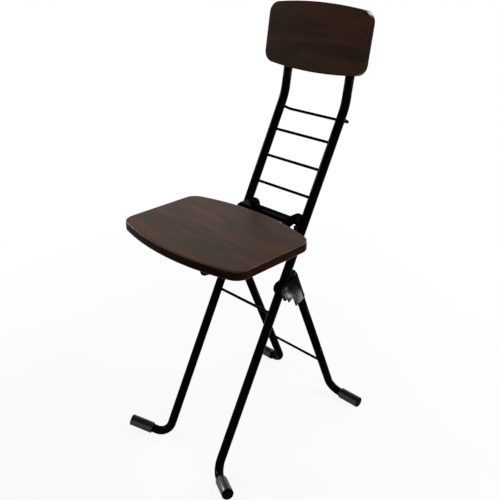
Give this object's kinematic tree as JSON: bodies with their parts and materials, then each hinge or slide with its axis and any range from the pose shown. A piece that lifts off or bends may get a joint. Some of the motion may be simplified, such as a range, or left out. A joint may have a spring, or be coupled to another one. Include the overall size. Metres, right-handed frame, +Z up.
{
  "type": "folding_work_chair",
  "caption": "Tall folding chair: leaning steel-tube ladder frame with splayed capped feet, hinged rear legs, a wooden seat hooked on a rung and a wooden backrest.",
  "frame": {"origin": "On the floor, under the middle of the chair's bounding box.", "axes": "+X is the sitter's left, -Y is the front of the chair, +Z is up. The chair is the same on both sides of X = 0."},
  "size_m": [0.3388, 0.4755, 0.9108],
  "materials": {
    "black_paint": "gloss black paint on steel",
    "dark_steel": "blackened steel fasteners",
    "black_plastic": "matte black plastic",
    "grey_rubber": "dark grey moulded rubber",
    "seat_wood": "stained walnut, satin lacquer",
    "back_wood": "stained walnut, satin lacquer"
  },
  "bodies": {
    "frame": {"left_main_tube": "black_paint", "right_main_tube": "black_paint", "rung_1": "black_paint", "rung_2": "black_paint", "rung_3": "black_paint", "rung_4": "black_paint", "rung_5": "black_paint", "front_crossbar": "black_paint", "handle_rod": "black_paint", "backrest_board": "back_wood", "backrest_screws": "dark_steel", "post_plugs": "black_plastic", "front_left_foot_cap": "grey_rubber", "front_right_foot_cap": "grey_rubber"},
    "rear_legs": {"left_rear_leg": "black_paint", "right_rear_leg": "black_paint", "rear_crossbar": "black_paint", "left_pivot_bracket": "black_paint", "right_pivot_bracket": "black_paint", "pivot_rivets": "dark_steel", "leg_plugs": "black_plastic", "rear_left_foot_cap": "grey_rubber", "rear_right_foot_cap": "grey_rubber"},
    "seat": {"seat_board": "seat_wood", "left_seat_bracket": "black_paint", "right_seat_bracket": "black_paint", "seat_bridge": "black_paint", "seat_screws": "dark_steel"}
  },
  "joints": [
    {"name": "rear_leg_fold", "type": "hinge", "parent": "frame", "child": "rear_legs", "pos_m": [0, 0.01165, 0.3706], "axis": [-1, 0, 0], "range_deg": [0, 50]},
    {"name": "seat_flip", "type": "hinge", "parent": "frame", "child": "seat", "pos_m": [0, 0.07648, 0.4915], "axis": [-1, 0, 0], "range_deg": [0, 84]}
  ]
}
